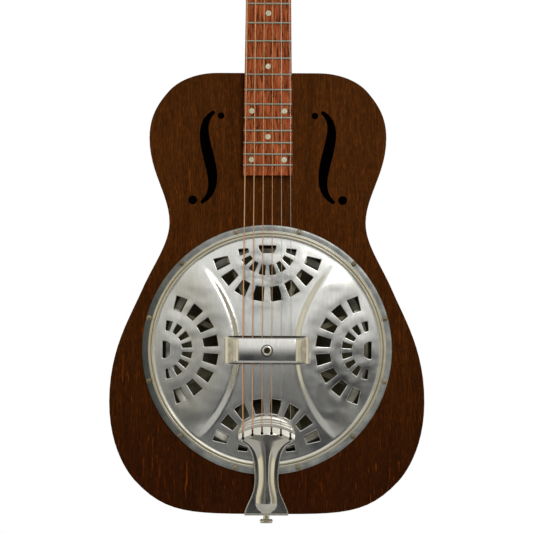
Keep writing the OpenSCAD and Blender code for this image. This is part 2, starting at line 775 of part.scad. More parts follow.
module tuner_plate() {
    face = head_w / 2;
    tab_z = -worm_drop - tab_half;
    on_head() difference() {
        union() {
            translate([face, roller_y - tab_ys[1], plate_zs[0]])
                cube([plate_sheet, 2 * tab_ys[1], plate_zs[1] - plate_zs[0]]);
            for (z = roller_zs, y = [-tab_ys[1], tab_ys[0]]) translate([face, roller_y + y, z + tab_z])
                cube([9.5, tab_ys[1] - tab_ys[0], 2 * tab_half]);
        }
        for (z = roller_zs) {
            bar(roller_y, z, shaft_r + running_gap, 30, 50);
            pole(worm_x, z - worm_drop, worm_shaft_r + running_gap, -5, 25);
        }
        for (z = plate_screw_zs) bar(roller_y, z, tuner_screw_r, 30, 50);
    }
}
module tuner_plate_treble() {
    color([0.74, 0.72, 0.66]) tuner_plate();
}
module tuner_plate_bass() {
    color([0.74, 0.72, 0.66]) mirror([1, 0, 0]) tuner_plate();
}
module tuner_screws() {
    face = head_w / 2 + plate_sheet;
    color([0.66, 0.64, 0.58]) on_head() for (m = [0, 1], z = plate_screw_zs) mirror([m, 0, 0]) {
        bar(roller_y, z, tuner_screw_r, face - 9, face);
        bar(roller_y, z, 2.4, face, face + 1.2);
    }
}

top();
back();
side_bass();
side_treble();
linings();
neck_block();
tail_block();
soundwell();
back_braces();
neck();
head_veneer();
fretboard();
frets();
fret_markers();
nut();
neck_bolts();
coverplate();
hand_rest();
hand_rest_eyelet();
coverplate_screws();
cone();
spider();
saddles();
tension_screw();
tailpiece();
end_pin();
guitar_string(1);  // string_1
guitar_string(2);  // string_2
guitar_string(3);  // string_3
guitar_string(4);  // string_4
guitar_string(5);  // string_5
guitar_string(6);  // string_6
tuner_plate_bass();
tuner_plate_treble();
tuner_screws();
tuner_button(1);  // tuner_button_1
tuner_button(2);  // tuner_button_2
tuner_button(3);  // tuner_button_3
tuner_button(4);  // tuner_button_4
tuner_button(5);  // tuner_button_5
tuner_button(6);  // tuner_button_6
worm(1);  // worm_1
worm(2);  // worm_2
worm(3);  // worm_3
worm(4);  // worm_4
worm(5);  // worm_5
worm(6);  // worm_6
gear(1);  // gear_1
gear(2);  // gear_2
gear(3);  // gear_3
gear(4);  // gear_4
gear(5);  // gear_5
gear(6);  // gear_6
roller(1);  // roller_1
roller(2);  // roller_2
roller(3);  // roller_3
roller(4);  // roller_4
roller(5);  // roller_5
roller(6);  // roller_6
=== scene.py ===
import json
import math

import bmesh
import bpy
import numpy as np
from mathutils import Matrix, Vector, geometry, noise


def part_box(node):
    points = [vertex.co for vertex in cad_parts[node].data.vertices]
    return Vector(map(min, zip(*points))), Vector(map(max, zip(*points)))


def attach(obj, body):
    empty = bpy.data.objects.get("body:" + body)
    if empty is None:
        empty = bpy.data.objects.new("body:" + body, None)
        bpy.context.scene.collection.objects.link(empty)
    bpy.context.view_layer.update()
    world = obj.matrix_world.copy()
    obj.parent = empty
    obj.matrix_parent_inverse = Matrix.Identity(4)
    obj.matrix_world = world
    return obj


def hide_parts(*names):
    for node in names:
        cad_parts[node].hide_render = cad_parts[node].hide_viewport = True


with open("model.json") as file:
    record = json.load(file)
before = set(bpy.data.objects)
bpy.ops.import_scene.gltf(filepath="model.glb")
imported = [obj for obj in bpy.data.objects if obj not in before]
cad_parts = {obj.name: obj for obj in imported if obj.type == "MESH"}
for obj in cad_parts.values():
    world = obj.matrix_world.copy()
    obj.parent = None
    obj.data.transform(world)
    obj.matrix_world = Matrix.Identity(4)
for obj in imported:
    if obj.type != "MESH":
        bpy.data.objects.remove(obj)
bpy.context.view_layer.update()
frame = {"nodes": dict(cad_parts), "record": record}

# A resonator guitar, upright, with its face towards -Y. Lengths are in metres, and the CAD frame gives
# every place. Shapes worked out in millimetres are scaled by MM.
MM = 0.001


def mid(node):
    """The centre of a CAD node's box."""
    low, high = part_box(node)
    return (Vector(low) + Vector(high)) / 2


def smooth(low, high, value):
    """0 below low, 1 above high, and an S-curve between them."""
    t = min(max((value - low) / (high - low), 0.0), 1.0)
    return t * t * (3 - 2 * t)


def hill(value, width):
    """A rounded bump, 1 at value 0."""
    return math.exp(-((value / width) ** 2))


# ---------- Camera ----------
CAMERA_DISTANCE = 3.5
PICTURE_WIDTH = 0.616
AIM = Vector((-0.001, 0, -0.5559))
ROLL = math.radians(0.25)
SENSOR = 36


def make_camera():
    data = bpy.data.cameras.new("camera")
    data.sensor_width = SENSOR
    data.lens = SENSOR * CAMERA_DISTANCE / PICTURE_WIDTH
    data.clip_end = 50
    camera = bpy.data.objects.new("camera", data)
    bpy.context.collection.objects.link(camera)
    facing = Matrix.Rotation(math.radians(90), 4, "X") @ Matrix.Rotation(ROLL, 4, "Z")
    camera.matrix_world = Matrix.Translation(AIM - Vector((0, CAMERA_DISTANCE, 0))) @ facing
    bpy.context.scene.camera = camera


# ---------- Materials ----------
class Finish:
    """One node material, built a node at a time around a Principled shader."""

    def __init__(self, name, **inputs):
        self.material = bpy.data.materials.new(name)
        self.material.use_nodes = True
        self.tree = self.material.node_tree
        self.shader = self.tree.nodes["Principled BSDF"]
        self.place = self.add("ShaderNodeTexCoord").outputs["Object"]
        self.set(**inputs)

    @classmethod
    def of(cls, material):
        """The finish of a material that was made earlier, to add to it."""
        finish = cls.__new__(cls)
        finish.material, finish.tree = material, material.node_tree
        finish.shader = finish.tree.nodes["Principled BSDF"]
        finish.place = finish.tree.nodes["Texture Coordinate"].outputs["Object"]
        return finish

    def colour(self):
        return self.shader.inputs["Base Color"].links[0].from_socket

    def feed(self, socket, value):
        if isinstance(value, bpy.types.NodeSocket):
            self.tree.links.new(value, socket)
        elif isinstance(value, tuple) and len(value) == 3 and socket.type == "RGBA":
            socket.default_value = (*value, 1)
        else:
            socket.default_value = value

    def add(self, kind, settings=None, **inputs):
        node = self.tree.nodes.new(kind)
        for key, value in (settings or {}).items():
            setattr(node, key, value)
        for key, value in inputs.items():
            self.feed(node.inputs[key.replace("_", " ")], value)
        return node

    def set(self, **inputs):
        for key, value in inputs.items():
            self.feed(self.shader.inputs[key.replace("_", " ")], value)

    def stretched(self, x, y, z):
        """Object coordinates times x, y and z: the larger the number, the finer the pattern that way."""
        return self.add("ShaderNodeMapping", Vector=self.place, Scale=(x, y, z)).outputs["Vector"]

    def noise(self, where, scale=1.0, detail=4.0, rough=0.55, bend=0.0):
        node = self.add(
            "ShaderNodeTexNoise", Vector=where, Scale=scale, Detail=detail, Roughness=rough, Distortion=bend
        )
        return node.outputs["Fac"]

    def ramp(self, value, *stops):
        node = self.add("ShaderNodeValToRGB", Fac=value)
        elements = node.color_ramp.elements
        while len(elements) < len(stops):
            elements.new(0.5)
        for element, (at, colour) in zip(elements, stops):
            element.position = at
            element.color = (*colour, 1)
        return node.outputs["Color"]

    def fade(self, value, low, high, start=0.0, end=1.0):
        node = self.add("ShaderNodeMapRange", {"clamp": True}, Value=value)
        for key, number in (("From Min", low), ("From Max", high), ("To Min", start), ("To Max", end)):
            node.inputs[key].default_value = number
        return node.outputs["Result"]

    def mix(self, amount, first, second, blend="MIX"):
        node = self.add("ShaderNodeMixRGB", {"blend_type": blend}, Fac=amount, Color1=first, Color2=second)
        return node.outputs["Color"]

    def sums(self, operation, first, second):
        node = self.add("ShaderNodeMath", {"operation": operation})
        self.feed(node.inputs[0], first)
        self.feed(node.inputs[1], second)
        return node.outputs["Value"]

    def band(self, value, low, low_full, high_full, high, strength=1.0):
        """The strength from low_full to high_full, fading away to 0 at low and at high."""
        rise = self.fade(value, low, low_full)
        fall = self.fade(value, high_full, high, strength, 0.0)
        return self.sums("MULTIPLY", rise, fall)

    def split(self, where):
        return self.add("ShaderNodeSeparateXYZ", Vector=where).outputs

    def from_axis(self, centre):
        """Distance from the line through the centre that runs from front to back."""
        away = self.add("ShaderNodeVectorMath", {"operation": "SUBTRACT"})
        self.feed(away.inputs[0], self.place)
        away.inputs[1].default_value = centre
        flat = self.add("ShaderNodeVectorMath", {"operation": "MULTIPLY"})
        self.feed(flat.inputs[0], away.outputs["Vector"])
        flat.inputs[1].default_value = (1, 0, 1)
        length = self.add("ShaderNodeVectorMath", {"operation": "LENGTH"}, Vector=flat.outputs["Vector"])
        return length.outputs["Value"]

    def bumped(self, height, strength, depth_mm):
        node = self.add("ShaderNodeBump", Strength=strength, Distance=depth_mm * MM, Height=height)
        self.set(Normal=node.outputs["Normal"])


def stained_wood(name, dark, light, inner_y=0.0, edge_y=None):
    """Thin brown stain over fine straight grain, darker and redder towards the end of the body.
    A face nearer the front than inner_y is inside the body, and is painted nearly black there as shade. The
    front's rounded edge, between the depths edge_y, is painted nearly black."""
    wood = Finish(name, Specular_IOR_Level=0.04)
    fibre = wood.noise(wood.stretched(700, 700, 30), detail=5, rough=0.7)
    cloud = wood.noise(wood.stretched(16, 16, 9), detail=4, bend=0.8)
    streak = wood.noise(wood.stretched(110, 110, 6), detail=5, rough=0.6, bend=0.8)
    place = wood.split(wood.place)
    colour = wood.ramp(streak, (0.3, dark), (0.66, light))
    colour = wood.mix(wood.fade(cloud, 0.38, 0.68, 0.0, 0.5), colour, dark)
    colour = wood.mix(wood.fade(fibre, 0.34, 0.6, 0.75, 0.0), colour, tuple(0.3 * c for c in dark))
    mottle = wood.noise(wood.stretched(300, 300, 60), detail=6, rough=0.75)
    colour = wood.mix(wood.fade(mottle, 0.4, 0.56, 0.5, 0.0), colour, tuple(0.45 * c for c in dark))
    speck = wood.noise(wood.stretched(560, 560, 140), detail=3, rough=0.6)
    colour = wood.mix(wood.fade(speck, 0.38, 0.52, 0.28, 0.0), colour, tuple(0.4 * c for c in dark))
    colour = wood.mix(wood.fade(speck, 0.52, 0.66, 0.0, 0.25), colour, tuple(1.5 * c for c in light))
    fleck = wood.noise(wood.stretched(420, 420, 34), detail=4, rough=0.6, bend=1.2)
    colour = wood.mix(wood.fade(place["Z"], -0.46, -0.80, 0.0, 0.9), colour, (0.42, 0.32, 0.16), "MULTIPLY")
    orange = (2.0 * light[0], 1.4 * light[1], light[2])
    colour = wood.mix(wood.fade(fleck, 0.61, 0.70, 0.0, 0.6), colour, orange)
    if edge_y:
        # The front's rounded edge, between the depths edge_y, is painted nearly black.
        rounding = wood.band(place["Y"], *edge_y, 2.2 * MM, 4.5 * MM)
        colour = wood.mix(rounding, colour, (0.006, 0.002, 0.0005))
    # Painted shade: faces inside the body, nearer the front than inner_y, are painted nearly black.
    if inner_y:
        inside = wood.fade(place["Y"], inner_y, inner_y + 0.5 * MM, 1.0, 0.0)
        colour = wood.mix(inside, colour, (0.008, 0.004, 0.002))
    wood.set(Base_Color=colour, Roughness=wood.fade(fibre, 0.3, 0.7, 0.52, 0.36))
    wood.bumped(fibre, 0.22, 0.15)
    return wood.material


def bare_wood(name, dark, light):
    wood = Finish(name, Roughness=0.7)
    grain = wood.noise(wood.stretched(300, 300, 20), detail=5, bend=0.5)
    fibre = wood.noise(wood.stretched(1500, 1500, 60))
    colour = wood.ramp(grain, (0.35, dark), (0.65, light))
    wood.set(Base_Color=colour, Roughness=wood.fade(fibre, 0.3, 0.7, 0.8, 0.6))
    wood.bumped(fibre, 0.3, 0.1)
    return wood.material


def rosewood(name):
    """Oiled red-brown board with dark streaks and open pores along the neck."""
    wood = Finish(name, Specular_IOR_Level=0.06)
    figure = wood.noise(wood.stretched(330, 330, 18), detail=6, rough=0.75, bend=1.2)
    band = wood.noise(wood.stretched(60, 60, 3), detail=3, bend=0.8)
    pores = wood.noise(wood.stretched(780, 780, 60), detail=4, rough=0.7)
    colour = wood.ramp(
        figure, (0.3, (0.045, 0.010, 0.003)), (0.42, (0.30, 0.062, 0.016)), (0.56, (0.54, 0.135, 0.042)),
        (0.75, (0.75, 0.27, 0.11))
    )
    colour = wood.mix(wood.fade(band, 0.55, 0.72, 0.0, 0.6), colour, (0.07, 0.02, 0.01))
    colour = wood.mix(wood.fade(pores, 0.40, 0.49, 0.9, 0.0), colour, (0.03, 0.007, 0.003))
    wood.set(Base_Color=colour, Roughness=wood.fade(pores, 0.3, 0.7, 0.6, 0.38))
    wood.bumped(pores, 0.35, 0.15)
    return wood.material


def metal(name, colour, rough, smear=0.1, tarnish=None, string=False):
    """Plated or bare metal with smudged roughness, brushed hairlines and some dulling."""
    coat = Finish(name, Metallic=1.0)
    smudge = coat.noise(coat.stretched(24, 24, 24), detail=3)
    fine = coat.noise(coat.stretched(500, 500, 40), detail=4, rough=0.6)
    dull = tarnish or tuple(0.72 * c for c in colour)
    tone = coat.mix(coat.fade(smudge, 0.42, 0.7, 0.0, 0.7), colour, dull)
    tone = coat.mix(coat.fade(fine, 0.35, 0.65, 0.22, 0.0), tone, tuple(0.6 * c for c in colour))
    if string:
        # Painted shade at the ball end, under the tailpiece's comb.
        tone = ball_end_shade(coat, tone)
    coat.set(Base_Color=tone, Roughness=coat.fade(smudge, 0.3, 0.7, max(rough - smear, 0.04), rough + smear))
    coat.bumped(fine, 0.12, 0.03)
    return coat.material


def spun_metal(name, centre):
    """Aluminium spun on a lathe, with fine rings round a centre: painted dull brown as shade under the
    coverplate, nearly black towards the middle and beyond its edge, with a painted cream highlight round its
    rim.
    """
    coat = Finish(name)
    away = coat.from_axis(centre)
    rings = coat.add("ShaderNodeTexNoise", {"noise_dimensions": "1D"}, W=away, Scale=1400.0)
    # Painted shade: the spun rings are dark brown, as the cone lies in shade under the coverplate.
    colour = coat.ramp(rings.outputs["Fac"], (0.3, (0.045, 0.038, 0.02)), (0.7, (0.20, 0.18, 0.105)))
    # Painted shade: nearly black towards the middle.
    colour = coat.mix(coat.fade(away, 0.05, 0.085, 0.75, 0.0), colour, (0.015, 0.013, 0.009))
    bright = coat.noise(coat.stretched(30, 30, 30), detail=2)
    # Painted highlight: a bright cream band round the cone's rim, as the light it catches through the slots.
    rim = coat.band(away, 0.1095, 0.1105, 0.1165, 0.1175)
    rim = coat.sums("MULTIPLY", rim, coat.fade(bright, 0.35, 0.55, 0.3, 1.0))
    colour = coat.mix(rim, colour, (1.0, 0.98, 0.86))
    # Painted shade: nearly black beyond the cone's edge.
    colour = coat.mix(coat.fade(away, 0.117, 0.119), colour, (0.012, 0.011, 0.01))
    coat.set(Base_Color=colour, Roughness=0.4, Metallic=coat.fade(rim, 0.0, 1.0, 0.6, 0.2))
    coat.bumped(rings.outputs["Fac"], 0.25, 0.1)
    return coat.material


def ball_end_shade(coat, colour):
    """The colour of a string, painted nearly black at its ball end as shade under the tailpiece's arched
    comb.
    """
    place = coat.split(coat.place)
    arch = coat.sums("MULTIPLY", coat.sums("MULTIPLY", place["X"], place["X"]), 8.29)
    row = coat.sums("ADD", place["Z"], arch)
    slots = mid("coverplate").z - 0.0895
    # Painted shade: nearly black past the comb's slots, where the ball ends lie under the metal.
    return coat.mix(coat.fade(row, slots - MM, slots, 1.0, 0.0), colour, (0.02, 0.016, 0.012))


def wound_metal(name, colour, turns_per_metre):
    """A string's bronze winding: ridges close together along the string."""
    coat = Finish(name, Metallic=1.0, Roughness=0.34)
    height = coat.split(coat.place)["Z"]
    wave = coat.sums("SINE", coat.sums("MULTIPLY", height, turns_per_metre * 2 * math.pi), 0.0)
    # Painted shade: each winding's trough is coloured darker, as the shade between the turns.
    tone = coat.mix(coat.fade(wave, -1, 1, 0.35, 0.0), colour, tuple(0.45 * c for c in colour))
    coat.set(Base_Color=ball_end_shade(coat, tone))
    coat.bumped(wave, 0.5, 0.12)
    return coat.material


def polished_stuff(name, light, dark, rough=0.22, cloud=60):
    """Bone, pearl or plastic: slightly cloudy, with some light passing into it."""
    stuff = Finish(name, Roughness=rough, Coat_Weight=0.3, Subsurface_Weight=0.1, Subsurface_Scale=0.002)
    cloudy = stuff.noise(stuff.stretched(cloud * 3, cloud * 3, cloud), detail=5, bend=1.5)
    stuff.set(Base_Color=stuff.ramp(cloudy, (0.35, dark), (0.65, light)))
    stuff.bumped(cloudy, 0.05, 0.1)
    return stuff.material


def tarnished_and_shaded_rim(material):
    """Duller, blotched plating on the coverplate's flat flange, with painted shade on the bass side, and a
    rougher beaded rim tinted cream as a painted warm reflection, with painted shade in its groove and no
    hairlines.
    Painted dark reflections lie over the top and treble fans."""
    coat = Finish.of(material)
    away = coat.from_axis(mid("coverplate"))
    blotch = coat.noise(coat.stretched(60, 60, 60), detail=4)
    colour = coat.colour()
    worn = coat.mix(coat.fade(blotch, 0.35, 0.65), (0.33, 0.35, 0.37), (0.60, 0.61, 0.60))
    # Painted shade: the flange is painted darker towards the bass side.
    bass_side_shade = coat.fade(coat.split(coat.place)["X"], -0.135, -0.06, 0.85, 0.0)
    worn = coat.mix(bass_side_shade, worn, (0.10, 0.11, 0.11))
    # Painted reflection: the bead is tinted cream, standing in for the warm light it reflects.
    on_rim = coat.fade(away, (BEAD_R - 2.2) * MM, (BEAD_R - 1) * MM)
    bead = coat.mix(on_rim, (1, 1, 1), (0.88, 0.83, 0.70))
    tint = coat.mix(coat.fade(away, (FLANGE_R - 0.4) * MM, (FLANGE_R + 0.4) * MM), bead, worn)
    # Painted shade: a dark line in the groove beyond the bead, where shade falls in the crevice.
    groove = coat.band(away, *[(GROOVE_R + step) * MM for step in (-0.6, -0.1, 0.1, 0.6)], 0.75)
    tint = coat.mix(groove, tint, (0.12, 0.11, 0.09))
    # Painted reflections: dark patches over the top and treble fans, standing in for dark surroundings seen
    # in the metal.
    smear = coat.noise(coat.stretched(38, 38, 75), detail=3, rough=0.5)
    for u, v in ((0, 0.085), (0.095, -0.015)):
        near = coat.fade(coat.from_axis(mid("coverplate") + Vector((u, 0, v))), 0.022, 0.052, 0.75, 0.0)
        tint = coat.mix(coat.sums("MULTIPLY", near, coat.fade(smear, 0.42, 0.64)), tint, (0.2, 0.21, 0.22))
    coat.set(Base_Color=coat.mix(1.0, colour, tint, "MULTIPLY"))
    hairlines = coat.tree.nodes["Bump"].inputs["Height"]
    inside = coat.fade(away, 0.126, 0.130, 1.0, 0.0)
    coat.feed(hairlines, coat.sums("MULTIPLY", hairlines.links[0].from_socket, inside))
    rough = coat.shader.inputs["Roughness"].links[0].from_socket
    rougher = coat.fade(away, (BEAD_R - 2.7) * MM, (BEAD_R - 0.7) * MM, 0.0, 0.2)
    coat.set(Roughness=coat.sums("ADD", rough, rougher))
    return material


def rest_plate(colour):
    """The hand rest's plating, polished by the player's hand, with a ring of painted shade round the eyelet.
    """
    material = metal("rest_plate", colour, 0.19, 0.06, tuple(0.85 * c for c in colour))
    coat = Finish.of(material)
    ring = coat.from_axis(mid("hand_rest_eyelet"))
    # Painted shade: a dark ring round the eyelet, standing in for its shadow on the rest.
    eyelet_shade = coat.band(ring, 5 * MM, 5.5 * MM, 6.4 * MM, 7.4 * MM, 0.9)
    coat.set(Base_Color=coat.mix(eyelet_shade, coat.colour(), (0.03, 0.03, 0.03)))
    return material


def make_materials():
    brown = ((0.078, 0.021, 0.0018), (0.142, 0.040, 0.005))
    bronze = (0.80, 0.47, 0.27)
    return {
        "body_wood": stained_wood("body_wood", *brown, edge_y=(0.05 * MM, 0.5 * MM)),
        "back_wood": stained_wood("back_wood", *brown, inner_y=80.2 * MM),
        "neck_wood": stained_wood("neck_wood", *brown),
        "dark_veneer": stained_wood("dark_veneer", (0.018, 0.010, 0.006), (0.035, 0.020, 0.012)),
        "inner_wood": bare_wood("inner_wood", (0.035, 0.018, 0.008), (0.06, 0.032, 0.014)),
        "saddle_wood": bare_wood("saddle_wood", (0.32, 0.19, 0.09), (0.46, 0.30, 0.16)),
        "rosewood": rosewood("rosewood"),
        "fret_metal": metal("fret_metal", (0.36, 0.35, 0.27), 0.3),
        "pearl": polished_stuff("pearl", (0.88, 0.87, 0.66), (0.42, 0.42, 0.27), 0.2, 260),
        "bone": polished_stuff("bone", (0.74, 0.68, 0.52), (0.62, 0.55, 0.38), 0.3),
        "steel": metal("steel", (0.45, 0.45, 0.45), 0.4),
        "satin_plate": tarnished_and_shaded_rim(
            metal("satin_plate", (0.70, 0.70, 0.67), 0.22, 0.07, (0.56, 0.56, 0.52))
        ),
        "polished_plate": metal("polished_plate", (0.72, 0.70, 0.64), 0.14, 0.08, (0.55, 0.52, 0.44)),
        "rest_plate": rest_plate((0.72, 0.71, 0.67)),
        "worn_plate": metal("worn_plate", (0.60, 0.57, 0.47), 0.16, 0.08, (0.25, 0.22, 0.15)),
        # Painted shade: dark steel for the tension screw seen through the hand rest's eyelet.
        "dark_steel": metal("dark_steel", (0.16, 0.15, 0.12), 0.35),
        "screw_metal": metal("screw_metal", (0.36, 0.31, 0.21), 0.22, 0.1, (0.08, 0.065, 0.04)),
        "cone_metal": spun_metal("cone_metal", mid("cone")),
        "plain_string": metal("plain_string", (0.62, 0.61, 0.57), 0.2, string=True),
        "wound_string": wound_metal("wound_string", bronze, 2200),
        "tuner_metal": metal("tuner_metal", (0.62, 0.60, 0.54), 0.24),
        "gear_brass": metal("gear_brass", (0.62, 0.45, 0.20), 0.3, 0.1, (0.30, 0.20, 0.08)),
        "roller_plastic": polished_stuff("roller_plastic", (0.74, 0.70, 0.58), (0.64, 0.59, 0.46)),
        "button_plastic": polished_stuff("button_plastic", (0.74, 0.70, 0.58), (0.64, 0.59, 0.46)),
    }


# ---------- Pieces ----------
RECORD = frame["record"]
SLOT_OF = {part["node"]: part["material_slot"] for part in RECORD["subparts"]}
BODY_OF = {node: body for body, nodes in RECORD["behaviour"]["bodies"].items() for node in nodes}


# Pieces whose finish differs a little from the rest of their slot
# The tension screw is painted dark steel, so that the eyelet's hole above it reads as shade.
LOOKS = {
    "back": "back_wood", "hand_rest": "rest_plate", "end_pin": "worn_plate", "tension_screw": "dark_steel"
}


def stand_in(mesh, node, materials):
    """Shows a finished mesh in the place of a CAD node, in its finish and on its body."""
    piece = bpy.data.objects.new(node + "_shape", mesh)
    bpy.context.collection.objects.link(piece)
    mesh.materials.clear()
    mesh.materials.append(materials[LOOKS.get(node, SLOT_OF[node])])
    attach(piece, BODY_OF[node])
    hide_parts(node)
    return piece


def shaded(form, soft):
    """Smooth faces, with a sharp edge wherever two faces turn by more than soft degrees."""
    for face in form.faces:
        face.smooth = True
    for edge in form.edges:
        edge.smooth = edge.is_manifold and edge.calc_face_angle() < math.radians(soft)


def refined(node, bevel, materials, segments=2):
    """A copy of a CAD node with its flat faces made whole and its edges rounded by bevel millimetres."""
    mesh = frame["nodes"][node].data.copy()
    if "custom_normal" in mesh.attributes:
        mesh.attributes.remove(mesh.attributes["custom_normal"])
    form = bmesh.new()
    form.from_mesh(mesh)
    bmesh.ops.remove_doubles(form, verts=form.verts, dist=1e-6)
    bmesh.ops.dissolve_limit(form, angle_limit=math.radians(0.5), verts=form.verts, edges=form.edges)
    edges = [e for e in form.edges if e.is_manifold and e.calc_face_angle() > math.radians(25)]
    bmesh.ops.bevel(
        form, geom=edges, offset=bevel * MM, segments=segments, profile=0.5, affect="EDGES",
        clamp_overlap=True
    )
    shaded(form, 38)
    form.to_mesh(mesh)
    form.free()
    piece = stand_in(mesh, node, materials)
    piece.modifiers.new("flat_faces", "WEIGHTED_NORMAL").keep_sharp = True


# ---------- Pressed sheet metal ----------
def along(corners, step):
    """A closed line through the corners, with a point at least every step millimetres."""
    points = []
    for a, b in zip(corners, corners[1:] + corners[:1]):
        count = max(1, math.ceil(math.dist(a, b) / step))
        points += [(a[0] + (b[0] - a[0]) * k / count, a[1] + (b[1] - a[1]) * k / count) for k in range(count)]
    return points


def area(loop):
    return sum(a[0] * b[1] - b[0] * a[1] for a, b in zip(loop, loop[1:] + loop[:1])) / 2


def drawn_in(loop, width):
    """The loop moved into the metal by width: inwards for the outline, and outwards for a hole."""
    moved = []
    for before, here, after in zip(loop[-1:] + loop[:-1], loop, loop[1:] + loop[:1]):
        a = (Vector(here) - Vector(before)).normalized()
        b = (Vector(after) - Vector(here)).normalized()
        way = (a + b).normalized()
        reach = width / max(0.5, way.dot(a))
        moved.append((here[0] - way.y * reach, here[1] + way.x * reach))
    return moved


def within(points, loop):
    """For each point, whether it lies inside the loop."""
    x, y = points[:, 0], points[:, 1]
    found = np.zeros(len(points), bool)
    for (ax, ay), (bx, by) in zip(loop, loop[1:] + loop[:1]):
        if ay != by:
            found ^= ((ay > y) != (by > y)) & (x < (bx - ax) * (y - ay) / (by - ay) + ax)
    return found


def clearance(points, loop):
    """For each point, its distance to the nearest corner of the loop."""
    corners = np.array(loop)
    best = np.full(len(points), 1e9)
    for start in range(0, len(points), 4000):
        part = points[start:start + 4000]
        best[start:start + 4000] = np.sqrt(((part[:, None] - corners[None]) ** 2).sum(2)).min(1)
    return best


def pressed_sheet(form, outline, holes, filling, shape, thickness, edge=0.4, sink=0.25):
    """Adds to form a sheet of even thickness, with holes and softly rounded edges.
    The flat pattern is in millimetres, and shape(u, v, sunk) gives the place of a point of its outer
    face, in metres. The metal's outer face is on the side the triangles turn to."""
    loops = [outline if area(outline) > 0 else outline[::-1]]
    loops += [hole if area(hole) < 0 else hole[::-1] for hole in holes]
    flat, sunk, fixed = [], [], []
    for loop in loops:
        for ring, depth in ((loop, sink), (drawn_in(loop, edge), 0.0), (drawn_in(loop, 2.4 * edge), 0.0)):
            first = len(flat)
            flat += ring
            sunk += [depth] * len(ring)
            fixed += [(first + k, first + (k + 1) % len(ring)) for k in range(len(ring))]
    free = np.array(filling)
    keep = within(free, loops[0])
    for loop in loops[1:]:
        keep &= ~within(free, loop)
    for loop in loops:
        keep &= clearance(free, loop) > 2.4 * edge + 0.8
    flat += [tuple(p) for p in free[keep]]
    sunk += [0.0] * int(keep.sum())
    flat = [Vector(p) for p in flat]
    points, _, triangles, origins, _, _ = geometry.delaunay_2d_cdt(flat, fixed, [], 0, 1e-5)
    middles = np.array([[sum(points[i][k] for i in t) / 3 for k in (0, 1)] for t in triangles])
    inside = within(middles, loops[0])
    for loop in loops[1:]:
        inside &= ~within(middles, loop)
    triangles = [t for t, good in zip(triangles, inside) if good]
    outer = [Vector(shape(p.x, p.y, max(sunk[i] for i in o) if o else 0.0)) for p, o in zip(points, origins)]
    normals = [Vector((0, 0, 0)) for _ in outer]
    for a, b, c in triangles:
        normal = (outer[b] - outer[a]).cross(outer[c] - outer[a])
        for corner in (a, b, c):
            normals[corner] += normal
    used = sorted({i for t in triangles for i in t})
    front = {i: form.verts.new(outer[i]) for i in used}
    rear = {i: form.verts.new(outer[i] - normals[i].normalized() * thickness * MM) for i in used}
    sides = set()
    for a, b, c in triangles:
        form.faces.new((front[a], front[b], front[c]))
        form.faces.new((rear[c], rear[b], rear[a]))
        for side in ((a, b), (b, c), (c, a)):
            if side[::-1] in sides:
                sides.remove(side[::-1])
            else:
                sides.add(side)
    for a, b in sides:
        form.faces.new((front[b], front[a], rear[a], rear[b]))


def sheet_mesh(name, form):
    shaded(form, 42)
    mesh = bpy.data.meshes.new(name)
    form.to_mesh(mesh)
    form.free()
    return mesh


# ---------- Coverplate and hand rest ----------
PLATE_CENTRE = mid("coverplate")
PLATE_R = 144.5
SHEET = 1.2
SCREW_R = 141
FAN_FOCUS = 120
# The rim's rounded bead, the groove beyond it, the small lip beyond that, and where the flat flange begins
BEAD_R = 132.2
GROOVE_R = 134.4
LIP_R = 136
FLANGE_R = 137.4
# Near and far end, near and far width, and leans to either side of each row of a fan's slots
OUTER_SLOTS = (47.4, 63.9, 9.3, 13.4, (10, 30, 50, 70))
INNER_SLOTS = (22.4, 33.7, 4.4, 7.4, (11, 33, 55, 77))


def on_plate(u, v, h):
    """The place u across, v up and h out from the coverplate's centre, at the face of the body."""
    return (u * MM, -h * MM, PLATE_CENTRE.z + v * MM)


def turned(point, degrees):
    a = math.radians(degrees)
    return (
        point[0] * math.cos(a) - point[1] * math.sin(a),
        point[0] * math.sin(a) + point[1] * math.cos(a),
    )


def ring_of(radius, count, u=0.0, v=0.0):
    angles = [2 * math.pi * k / count for k in range(count)]
    return [(u + radius * math.cos(a), v + radius * math.sin(a)) for a in angles]


def arc(radius, degrees, u=0.0, v=0.0):
    """Points round (u, v), one at each of the angles."""
    return [(u + radius * math.cos(math.radians(a)), v + radius * math.sin(math.radians(a))) for a in degrees]


def fan_holes(degrees):
    """The pierced slots of one fan, and the hole at its focus."""
    holes = []
    for near, far, thin, wide, leans in (OUTER_SLOTS, INNER_SLOTS):
        corners = [(-thin / 2, -near), (thin / 2, -near), (wide / 2, -far), (-wide / 2, -far)]
        holes += [[turned(c, side * lean) for c in corners] for lean in leans for side in (-1, 1)]
    low, high = math.asin(-0.8), math.asin(0.05)
    bow = [low + (high - low) * k / 6 for k in range(7)]
    holes.append([(10 * math.cos(a), 10 * math.sin(a)) for a in bow])
    holes[-1] += [(-x, y) for x, y in holes[-1][::-1]]
    return [along([turned((x, y + FAN_FOCUS), degrees) for x, y in hole], 2.2) for hole in holes]


def valley_edge(v):
    """Half the width of the valley under the strings, v millimetres from the middle of the plate."""
    return 34.5 + 0.00416 * v * v


def dish(u, v):
    """How far the metal is drawn in by the punched slots nearby."""
    x, y = sorted((abs(u), abs(v)))
    y = FAN_FOCUS - y
    away = math.hypot(x, y)
    lean = math.degrees(math.atan2(x, y))
    depth = 0.0
    for near, far, thin, wide, leans in (OUTER_SLOTS, INNER_SLOTS):
        nearest = min(leans, key=lambda a: abs(a - lean))
        a = math.radians(lean - nearest)
        beyond = max(abs(away * math.cos(a) - (near + far) / 2) - (far - near) / 2, 0)
        beside = max(abs(away * math.sin(a)) - (thin + wide) / 4, 0)
        depth = max(depth, hill(math.hypot(beyond, beside), 3.6) * (far - near) / 16)
    return 0.14 * depth


